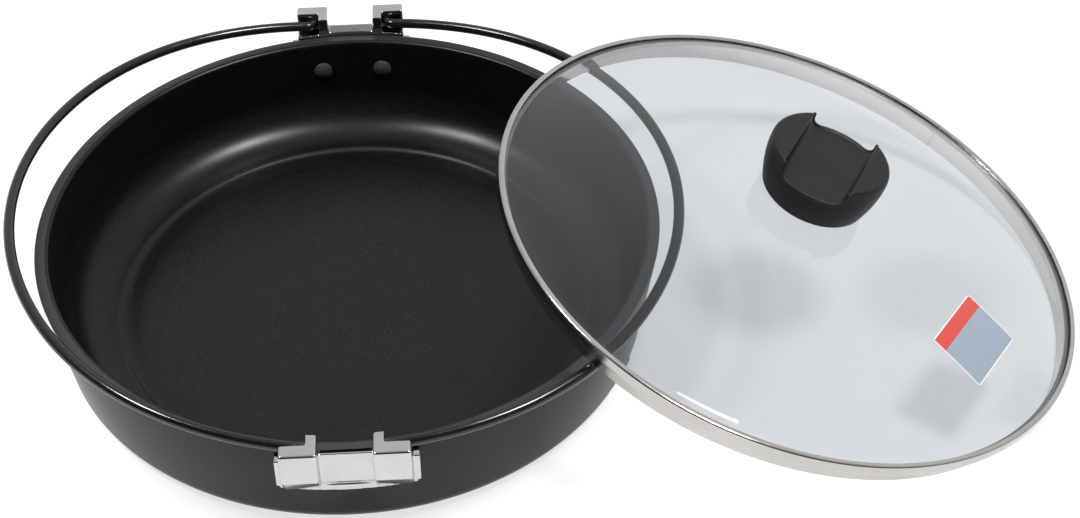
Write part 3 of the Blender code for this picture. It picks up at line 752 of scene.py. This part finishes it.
def glass_section():
    top = [(GLASS_HOLE, glass_top(GLASS_SEAT))]
    top += [(r, glass_top(r)) for r in np.linspace(GLASS_SEAT, GLASS_FLAT, GLASS_STEPS)]
    edge = [(GLASS_EDGE, GLASS_TOP_EDGE), (GLASS_EDGE, GLASS_TOP_EDGE - GLASS_THICK)]
    under = [(r, glass_under(r)) for r in np.linspace(GLASS_UNDER_FLAT, GLASS_SEAT, GLASS_STEPS)]
    return top + edge + under + [(GLASS_HOLE, glass_under(GLASS_SEAT))]


def glass_finish():
    made, graph, shader = new_material("clear_glass", Transmission_Weight=1.0, IOR=1.5, Metallic=0.0)
    marks = placed(graph, HANDLING, Low=0.0, High=0.008, Scale=18.0)
    tint = graph.blend(marks["Smear"], (0.530, 0.552, 0.566, 1), (0.552, 0.572, 0.585, 1))
    graph.feed(shader, "Base Color", tint)
    graph.feed(shader, "Roughness", marks["Roughness"])
    way = graph.add("ShaderNodeLightPath")
    soft = graph.math("MAXIMUM", way.outputs["Is Shadow Ray"], way.outputs["Is Diffuse Ray"])
    clear = graph.add("ShaderNodeBsdfTransparent", {"Color": (0.93, 0.94, 0.945, 1)})
    both = graph.add("ShaderNodeMixShader", {0: soft, 1: shader.outputs[0], 2: clear.outputs[0]})
    graph.feed(made.node_tree.nodes["Material Output"], "Surface", both.outputs[0])
    return made


add_piece("lid_glass_dome", ring_mesh("lid_glass_dome", glass_section(), RING_STEPS, glass_finish()),
          "lid", ["lid_glass"])

# %% [markdown]
# ## The lid's band
# The band is thin stainless strip, rolled round the glass edge: a lip over the top, a flat outer face, a
# seat that lands on the pan's rim and a skirt that drops inside it. It is swept like the glass, with a
# small round at each fold. The strip's ends are butted and welded, which leaves one fine line across it,
# and polishing leaves hair-fine rings.

# %% Roll the band
BAND_TOP = 5.8 * MM
BAND_LIP = 144.0 * MM
SHEET = 0.6 * MM
SKIRT_RADIUS = 142.0 * MM
FOLD = 1.0 * MM
SEAT_OUTER_ROUND = 0.6 * MM         # where the seat turns down into the skirt
SEAT_INNER_ROUND = 0.9 * MM
BAND_LIP_BEVEL = (0.2 * MM, 0.1 * MM)    # across and down, at the lip's edge
FOLD_STEPS = 6
WELD_PLACE = (86.0 * MM, 109.0 * MM)    # where the strip's ends meet, in the lid's frame
WELD_WIDTH = 0.5 * MM


def band_section():
    outer = [(BAND_LIP, BAND_TOP - BAND_LIP_BEVEL[1]), (BAND_LIP + BAND_LIP_BEVEL[0], BAND_TOP)]
    outer += arc((BAND_RADIUS - FOLD, BAND_TOP - FOLD), FOLD, 90, 0, FOLD_STEPS)
    outer += arc((BAND_RADIUS - FOLD, FOLD), FOLD, 0, -90, FOLD_STEPS)
    outer += arc((SKIRT_RADIUS + SEAT_OUTER_ROUND, -SEAT_OUTER_ROUND), SEAT_OUTER_ROUND, 90, 180, FOLD_STEPS)
    outer += arc((SKIRT_RADIUS - SHEET / 2, -SKIRT_DEPTH + SHEET / 2), SHEET / 2, 0, -180, FOLD_STEPS)
    bend = (SKIRT_RADIUS - SHEET + SEAT_INNER_ROUND, SHEET - SEAT_INNER_ROUND)
    inner = arc(bend, SEAT_INNER_ROUND, 180, 90, FOLD_STEPS)
    inner += [(BAND_RADIUS - SHEET, SHEET), (BAND_RADIUS - SHEET, BAND_TOP - SHEET)]
    return outer + inner + [(BAND_LIP, BAND_TOP - SHEET)]


def stainless_finish(name):
    made, graph, shader = new_material(name, Metallic=1.0)
    marks = placed(graph, HANDLING, Low=0.10, High=0.20, Scale=30.0)
    point = lid_point(graph)
    rings = placed(graph, TURNING, Scale=2600.0, Point=point)
    tone = graph.blend(marks["Smear"], (0.435, 0.424, 0.396, 1), (0.49, 0.478, 0.449, 1))
    split = graph.add("ShaderNodeSeparateXYZ", {"Vector": point})
    reach = math.hypot(*WELD_PLACE)
    across = graph.math("SUBTRACT", graph.math("MULTIPLY", split.outputs["X"], WELD_PLACE[1] / reach),
                        graph.math("MULTIPLY", split.outputs["Y"], WELD_PLACE[0] / reach))
    near = graph.ranged(graph.math("ABSOLUTE", across), WELD_WIDTH / 2, WELD_WIDTH, 1.0, 0.0)
    this_side = graph.math("GREATER_THAN", split.outputs["Y"], 0.0)
    weld = graph.math("MULTIPLY", near, this_side)
    graph.feed(shader, "Base Color", graph.blend(weld, tone, (0.22, 0.21, 0.20, 1)))
    rougher = graph.math("MULTIPLY", weld, 0.2)
    graph.feed(shader, "Roughness", graph.math("ADD", marks["Roughness"], rougher))
    height = graph.math("SUBTRACT", graph.math("MULTIPLY", rings["Rings"], 0.3), weld)
    bump(graph, shader, height, 0.12, 0.1 * MM)
    return made


STAINLESS = stainless_finish("stainless_strip")
add_piece("lid_steel_band", ring_mesh("lid_steel_band", band_section(), RING_STEPS, STAINLESS),
          "lid", ["lid_band"])

# %% [markdown]
# ## The knob
# The knob is one heat-proof moulding: a round body that flares towards the top, with a wide finger
# channel cut across it. A rounded bead runs round the front and back of the channel. The body is spun,
# the channel is cut with a Boolean, the two beads are swept tubes, and a voxel remesh joins it all into
# one skin with the soft edges of a moulding.

# %% Model the knob
KNOB_GAP = 0.3 * MM
KNOB_HEIGHT = 24.3 * MM
KNOB_FOOT_RADIUS = 25.5 * MM
KNOB_TOP_RADIUS = 29.3 * MM
KNOB_EDGE = 1.6 * MM
KNOB_FLARE = 1.5                    # 1 is a straight cone, and more keeps the top wide for longer
KNOB_HOLLOW = 17.5 * MM             # the shallow hollow underneath
KNOB_HOLLOW_RISE = 1.8 * MM
KNOB_SOCKET = 4.8 * MM              # the blind hole for the insert
KNOB_SOCKET_RISE = 12.5 * MM
KNOB_BULGE = 0.8 * MM               # the side swells by this much half way up
KNOB_PINCH = 0.12                   # the top's front half stands back by this share
CHANNEL_HEADING = math.radians(67.2)
CHANNEL_HALF = 16.5 * MM
CHANNEL_DROP = 8.6 * MM
CHANNEL_ROUND = 5.5 * MM
CHANNEL_LIP = 1.0 * MM              # the bead ends this far below the knob's top
CHANNEL_REACH = KNOB_TOP_RADIUS * 1.3   # half the cutter's length
CHANNEL_ABOVE = 10 * MM             # the cutter stands this much above the bead's ends
CHANNEL_FLAT_STEPS = 24
BEAD_RADIUS = 0.9 * MM
BEAD_SINK = 0.10                    # share of the bead's radius that its line lies inside the body
BEAD_SIDES = 12
KNOB_VOXEL = 0.4 * MM
BODY_SMOOTHING = 24
SKIN_SMOOTHING = 3
KNOB_STEPS = 128


def knob_measures():
    """Heights of the knob's foot and top, in the lid's frame."""
    foot = glass_top(GLASS_SEAT) + KNOB_GAP
    return foot, foot + KNOB_HEIGHT


def knob_flank(height):
    """Radius of the knob's side at a height."""
    foot, top = knob_measures()
    share = min(max((top - height) / (top - foot), 0.0), 1.0)
    swell = KNOB_BULGE * math.sin(math.pi * share)
    return KNOB_TOP_RADIUS + (KNOB_FOOT_RADIUS - KNOB_TOP_RADIUS) * share ** KNOB_FLARE + swell


def pinched(x, height):
    """A knob point's X once the top's front half is drawn in along the channel."""
    foot, top = knob_measures()
    rise = max(height - foot, 0.0) / (top - foot)
    return x * (1 - KNOB_PINCH * rise) if x < 0 else x


def knob_body():
    foot, top = knob_measures()
    outline = [(0.0, top), (KNOB_TOP_RADIUS - KNOB_EDGE, top)]
    outline += arc((KNOB_TOP_RADIUS - KNOB_EDGE, top - KNOB_EDGE), KNOB_EDGE, 60, 0, 4)
    outline += [(knob_flank(height), height) for height in np.linspace(top - 2 * KNOB_EDGE, foot, 12)]
    outline += [(KNOB_HOLLOW, foot), (KNOB_HOLLOW, foot + KNOB_HOLLOW_RISE)]
    outline += [(KNOB_SOCKET, foot + KNOB_HOLLOW_RISE), (KNOB_SOCKET, foot + KNOB_SOCKET_RISE)]
    outline.append((0.0, foot + KNOB_SOCKET_RISE))
    mesh = turned("knob_body", outline, KNOB_STEPS)
    for vert in mesh.vertices:
        vert.co.x = pinched(vert.co.x, vert.co.z)
    return mesh


def channel_outline():
    """Half-open U of the channel, as (across, height), from the left lip to the right one."""
    top = knob_measures()[1]
    floor = top - CHANNEL_DROP
    side = CHANNEL_HALF - CHANNEL_ROUND
    left = arc((-side, floor + CHANNEL_ROUND), CHANNEL_ROUND, 180, 270, 8)
    flat = [(across, floor) for across in np.linspace(-side, side, CHANNEL_FLAT_STEPS)[1:-1]]
    right = arc((side, floor + CHANNEL_ROUND), CHANNEL_ROUND, 270, 360, 8)
    return [(-CHANNEL_HALF, top - CHANNEL_LIP)] + left + flat + right + [(CHANNEL_HALF, top - CHANNEL_LIP)]


def channel_cutter():
    """The channel's section, closed above and drawn out along X."""
    outline = channel_outline()
    (left, left_top), (right, right_top) = outline[0], outline[-1]
    outline = [(left, left_top + CHANNEL_ABOVE)] + outline + [(right, right_top + CHANNEL_ABOVE)]
    corners = [(-CHANNEL_REACH, across, height) for across, height in outline]
    return drawn_out("channel_cutter", corners, (2 * CHANNEL_REACH, 0, 0))


def bead_mesh(end):
    """The bead at one end of the channel: it follows the U where it meets the knob's side."""
    path = []
    for across, height in channel_outline():
        radius = knob_flank(height) - BEAD_SINK * BEAD_RADIUS
        path.append((pinched(end * math.sqrt(radius ** 2 - across ** 2), height), across, height))
    return cook("bead", line_mesh("bead", path), SWEEP, Radius=BEAD_RADIUS, Sides=BEAD_SIDES)


def knob_mesh():
    body = carved("knob_body", knob_body(), channel_cutter())
    work = bmesh.new()
    work.from_mesh(softened("knob_body", body, KNOB_VOXEL, BODY_SMOOTHING))
    for end in (-1, 1):
        work.from_mesh(outward(bead_mesh(end)))
    skin = softened("knob_moulding", finished("knob_moulding", work), KNOB_VOXEL, SKIN_SMOOTHING)
    skin.transform(LID @ Matrix.Rotation(CHANNEL_HEADING, 4, "Z"))
    return skin


KNOB_COAT = dark_coat("knob_plastic", 0.30, grain=(1300.0, 0.70), gloss=(0.42, 0.56, 35.0),
                      grounds=((0.0030, 0.0030, 0.0034), (0.0050, 0.0050, 0.0056)),
                      fleck=(0.022, 0.022, 0.023), relief=(0.25, 0.10 * MM))
knob = knob_mesh()
knob.materials.clear()
add_piece("lid_knob_moulding", knob, "lid", ["lid_knob"], [KNOB_COAT], 180)

# %% [markdown]
# ## Under the knob
# A screw comes up through a washer, a rubber seal and the glass, into a brass insert in the knob. The
# seals and the insert keep their frame shapes, and get their own finishes. The washer and the screw are
# made finer, because they can be seen through the glass: the washer is dished, and the screw's head has a
# cross recess.

# %% Screw, washer, seals and insert
WASHER_RADIUS = 12.0 * MM
WASHER_BORE = 2.8 * MM
WASHER_THICK = 1.0 * MM
WASHER_DROP = 1.8 * MM              # below the underside of the glass
WASHER_BEVEL = 0.2 * MM
WASHER_STEPS = 96
DISH_RADII = (7.0 * MM, 6.4 * MM)   # the dish's edge and where its flat starts
DISH_DEPTH = 0.25 * MM
SCREW_RADIUS = 2.4 * MM
SCREW_HEAD = 5.0 * MM
SCREW_HEAD_HEIGHT = 2.6 * MM
SCREW_HEAD_BEVEL = (0.2 * MM, 0.3 * MM)     # across and down
SCREW_HEAD_ROUND = 1.4 * MM
SCREW_TIP = 10.5 * MM               # above the knob's foot
SCREW_STEPS = 64
CROSS_WIDTH = 1.2 * MM
CROSS_LENGTH = 5.6 * MM
CROSS_DEPTH = 1.5 * MM


def rubber_finish():
    made, graph, shader = new_material("seal_silicone", Specular_IOR_Level=0.4)
    grain = placed(graph, GRAIN, Scale=1600.0, Flecks=0.7)
    marks = placed(graph, HANDLING, Low=0.55, High=0.7, Scale=60.0)
    tone = graph.blend(grain["Cloud"], (0.34, 0.34, 0.34, 1), (0.42, 0.42, 0.42, 1))
    graph.feed(shader, "Base Color", tone)
    graph.feed(shader, "Roughness", marks["Roughness"])
    bump(graph, shader, grain["Height"], 0.2, 0.06 * MM)
    return made


def brass_finish():
    made, graph, shader = new_material("turned_brass", Metallic=1.0)
    rings = placed(graph, TURNING, Scale=3000.0, Point=lid_point(graph))
    tone = graph.blend(rings["Rings"], (0.60, 0.43, 0.16, 1), (0.74, 0.56, 0.25, 1))
    graph.feed(shader, "Base Color", tone)
    graph.feed(shader, "Roughness", graph.ranged(rings["Rings"], 0.3, 0.7, 0.2, 0.36))
    return made


def washer_mesh():
    top = glass_under(GLASS_SEAT) - WASHER_DROP
    low = top - WASHER_THICK
    rim = arc((WASHER_RADIUS - WASHER_THICK / 2, top - WASHER_THICK / 2), WASHER_THICK / 2, 90, -90, 8)
    outline = [(WASHER_BORE, top - WASHER_BEVEL), (WASHER_BORE + WASHER_BEVEL, top)] + rim
    outline += [(DISH_RADII[0], low), (DISH_RADII[1], low + DISH_DEPTH), (WASHER_BORE, low + DISH_DEPTH)]
    return ring_mesh("cup_washer", outline, WASHER_STEPS, STEEL)


def screw_body(top, tip):
    low = top - SCREW_HEAD_HEIGHT
    bevel, drop = SCREW_HEAD_BEVEL
    head = [(SCREW_RADIUS, top), (SCREW_HEAD - bevel, top), (SCREW_HEAD, top - drop)]
    head += arc((SCREW_HEAD - SCREW_HEAD_ROUND, low + SCREW_HEAD_ROUND), SCREW_HEAD_ROUND, 0, -90, 6)
    return turned("screw", [(0.0, tip), (SCREW_RADIUS, tip)] + head + [(0.0, low)], SCREW_STEPS)


def cross_cutter(low):
    """Two crossed bars as one closed mesh."""
    half_width = CROSS_WIDTH / 2
    half_length = CROSS_LENGTH / 2
    corners = [(half_length, half_width), (half_width, half_width), (half_width, half_length)]
    outline = []
    for quarter in range(4):
        turn = Matrix.Rotation(math.radians(90 * quarter), 2)
        outline += [tuple(turn @ Vector(corner)) for corner in corners]
    return drawn_out("cross_cutter", [(x, y, low - MM) for x, y in outline], (0, 0, MM + CROSS_DEPTH))


def screw_mesh():
    head_top = glass_under(GLASS_SEAT) - WASHER_DROP - WASHER_THICK - KNOB_GAP
    body = screw_body(head_top, knob_measures()[0] + SCREW_TIP)
    mesh = carved("screw", body, cross_cutter(head_top - SCREW_HEAD_HEIGHT))
    mesh.transform(LID)
    return outward(mesh)


STEEL = stainless_finish("fixing_steel")
add_piece("cup_washer", washer_mesh(), "lid", ["knob_washer"])
screw = screw_mesh()
screw.materials.clear()
add_piece("cross_head_screw", screw, "lid", ["knob_screw"], [STEEL])
FINISHES = {"knob_seal": rubber_finish(), "under_seal": rubber_finish(), "knob_insert": brass_finish()}
for node, finish in FINISHES.items():
    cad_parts[node].data.materials.clear()
    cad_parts[node].data.materials.append(finish)
    print(node, "keeps its frame shape with", finish.name)

# %% [markdown]
# ## The label
# A small printed film lies on the dome near its lower edge. Here it is blank: a red heading strip, a pale
# field and a thin light border, with no lettering. It is a grid laid on the dome, thickened a little,
# with round corners cut by pulling the grid's corner points in. The print follows the label's own UV map.

# %% Lay the label on the glass
LABEL_PLACE = (80.4 * MM, -61.4 * MM)
LABEL_SIZE = (41.6 * MM, 28.7 * MM)
LABEL_TURN = math.radians(59.2)
LABEL_LIFT = 0.25 * MM
LABEL_THICK = 0.18 * MM
LABEL_CELLS = 24
LABEL_CORNER = 1.2 * MM
STRIP_FROM = (0.735, 0.745)         # where the strip fades in, as a share of the label's short side
BORDER_X = (0.484, 0.487)           # where the border fades in, as shares from the label's middle
BORDER_Y = (0.477, 0.481)


def label_mesh():
    width, height = LABEL_SIZE
    work = bmesh.new()
    bmesh.ops.create_grid(work, x_segments=LABEL_CELLS, y_segments=LABEL_CELLS, size=0.5)
    print_map = work.loops.layers.uv.new("print")
    for face in work.faces:
        for loop in face.loops:
            loop[print_map].uv = (loop.vert.co.x + 0.5, loop.vert.co.y + 0.5)
    turn = Matrix.Rotation(LABEL_TURN, 2)
    for vert in work.verts:
        x, y = vert.co.x * width, vert.co.y * height
        over_x = abs(x) - (width / 2 - LABEL_CORNER)
        over_y = abs(y) - (height / 2 - LABEL_CORNER)
        if over_x > 0 and over_y > 0:
            pull = min(1.0, LABEL_CORNER / math.hypot(over_x, over_y))
            x = math.copysign(width / 2 - LABEL_CORNER + over_x * pull, x)
            y = math.copysign(height / 2 - LABEL_CORNER + over_y * pull, y)
        place = turn @ Vector((x, y)) + Vector(LABEL_PLACE)
        vert.co = (place.x, place.y, glass_top(place.length) + LABEL_LIFT)
    thing = bare_object("care_label_film", finished("care_label_film", work))
    film = thing.modifiers.new("film", "SOLIDIFY")
    film.thickness = LABEL_THICK
    film.offset = 1.0
    mesh = settle(thing)
    mesh.transform(LID)
    return mesh


def label_finish():
    """Red strip along one long side, pale field, light border, faint print grain."""
    made, graph, shader = new_material("label_film", Specular_IOR_Level=0.5, Coat_Weight=0.4)
    point = graph.add("ShaderNodeUVMap", uv_map="print").outputs["UV"]
    split = graph.add("ShaderNodeSeparateXYZ", {"Vector": point})
    grain = placed(graph, GRAIN, Scale=1400.0, Flecks=0.7)
    strip = graph.ranged(split.outputs["Y"], *STRIP_FROM)
    field = graph.blend(grain["Cloud"], (0.215, 0.258, 0.325, 1), (0.255, 0.298, 0.365, 1))
    inked = graph.blend(strip, field, (0.50, 0.040, 0.026, 1))
    edge_x = graph.math("ABSOLUTE", graph.math("SUBTRACT", split.outputs["X"], 0.5))
    edge_y = graph.math("ABSOLUTE", graph.math("SUBTRACT", split.outputs["Y"], 0.5))
    border = graph.math("MAXIMUM", graph.ranged(edge_x, *BORDER_X), graph.ranged(edge_y, *BORDER_Y))
    graph.feed(shader, "Base Color", graph.blend(border, inked, (0.62, 0.64, 0.66, 1)))
    graph.feed(shader, "Roughness", graph.ranged(grain["Height"], 0.3, 0.7, 0.32, 0.45))
    return made


add_piece("care_label_film", label_mesh(), "lid", ["care_label"], [label_finish()])

# %% [markdown]
# ## Studio
# The pot stands on a plain white table in soft light. Two softboxes hang above it, one at each side, and
# give the soft highlights in the pan's fillet and on the wires. The room is dark in front and pale
# behind, without edges: chrome and steel show dark lines where they fold, and the glass shows an even
# grey.

# %% Table, room and lamps
TABLE_HALF = 6.0
TABLE_DROP = 0.2 * MM               # below the pot, so that the two never share a face
ROOM_FRONT = 0.08
ROOM_BACK = 0.85
ROOM_SIDE = 0.16
ROOM_TURN = (-0.45, 0.65)           # the room brightens between these two directions along Y
MIDDLE = (0.0, 0.0, 0.03)


def table_finish():
    made, graph, shader = new_material("white_table", Roughness=0.7)
    slow = graph.noise(object_point(graph), 3.0)
    graph.feed(shader, "Base Color", graph.blend(slow, (0.36, 0.36, 0.36, 1), (0.38, 0.38, 0.38, 1)))
    shader.inputs["Emission Color"].default_value = (1.0, 1.0, 1.0, 1.0)
    shader.inputs["Emission Strength"].default_value = 0.72
    return made


def build_table():
    corners = [(x * TABLE_HALF, y * TABLE_HALF, 0) for x, y in ((-1, -1), (1, -1), (1, 1), (-1, 1))]
    mesh = bpy.data.meshes.new("table")
    mesh.from_pydata(corners, [], [(0, 1, 2, 3)])
    mesh.materials.append(table_finish())
    table = bare_object("table", mesh)
    table.location.z = -TABLE_DROP


def softbox(name, place, aim, size, power):
    """A rectangular lamp that faces a point."""
    lamp = bpy.data.lights.new(name, "AREA")
    lamp.shape = "RECTANGLE"
    lamp.size, lamp.size_y = size
    lamp.energy = power
    made = bpy.data.objects.new(name, lamp)
    bpy.context.scene.collection.objects.link(made)
    made.location = place
    made.rotation_euler = (Vector(aim) - Vector(place)).to_track_quat("-Z", "Y").to_euler()


def build_room():
    """A smooth room: dim in front, brighter behind and to the right."""
    world = bpy.data.worlds.new("studio")
    world.use_nodes = True
    graph = Graph(world.node_tree)
    sky = world.node_tree.nodes["Background"]
    way = graph.add("ShaderNodeTexCoord").outputs["Generated"]
    split = graph.add("ShaderNodeSeparateXYZ", {"Vector": way})
    depth = graph.ranged(split.outputs["Y"], *ROOM_TURN, ROOM_FRONT, ROOM_BACK)
    side = graph.math("MULTIPLY", split.outputs["X"], ROOM_SIDE)
    sky.inputs["Color"].default_value = (0.97, 0.985, 1.0, 1.0)
    graph.feed(sky, "Strength", graph.math("ADD", depth, side))
    bpy.context.scene.world = world


build_table()
build_room()
softbox("upper_right", (0.55, -0.22, 1.38), MIDDLE, (0.28, 0.28), 17.0)
softbox("upper_left", (-0.64, -0.12, 1.35), MIDDLE, (0.28, 0.28), 15.0)
bpy.context.scene.view_settings.view_transform = "Standard"

# %% [markdown]
# ## Camera
# A long lens looks down at the pot from the front, a little from the left. The camera is placed by the
# point that it looks at, its distance, its height above the horizon, its turn round the pot and a very
# slight roll.

# %% Place the camera
LOOK_AT = Vector((0.0905, -0.0342, 0.056))
CAMERA_DISTANCE = 0.9694
CAMERA_TURN = math.radians(-3.254)
CAMERA_RISE = math.radians(42.644)
CAMERA_ROLL = math.radians(-0.3625)
LENS = 68.3


def place_camera():
    lens = bpy.data.cameras.new("camera")
    lens.lens = LENS
    lens.sensor_width = 36.0
    camera = bpy.data.objects.new("camera", lens)
    bpy.context.scene.collection.objects.link(camera)
    level_share = math.cos(CAMERA_RISE)
    back = Vector((math.sin(CAMERA_TURN) * level_share, -math.cos(CAMERA_TURN) * level_share,
                   math.sin(CAMERA_RISE)))
    camera.location = LOOK_AT + back * CAMERA_DISTANCE
    right = (-back).cross(Vector((0, 0, 1))).normalized()
    up = right.cross(-back)
    level = Matrix((right, up, back)).transposed()
    camera.rotation_euler = (level @ Matrix.Rotation(CAMERA_ROLL, 3, "Z")).to_euler()
    bpy.context.scene.camera = camera


place_camera()
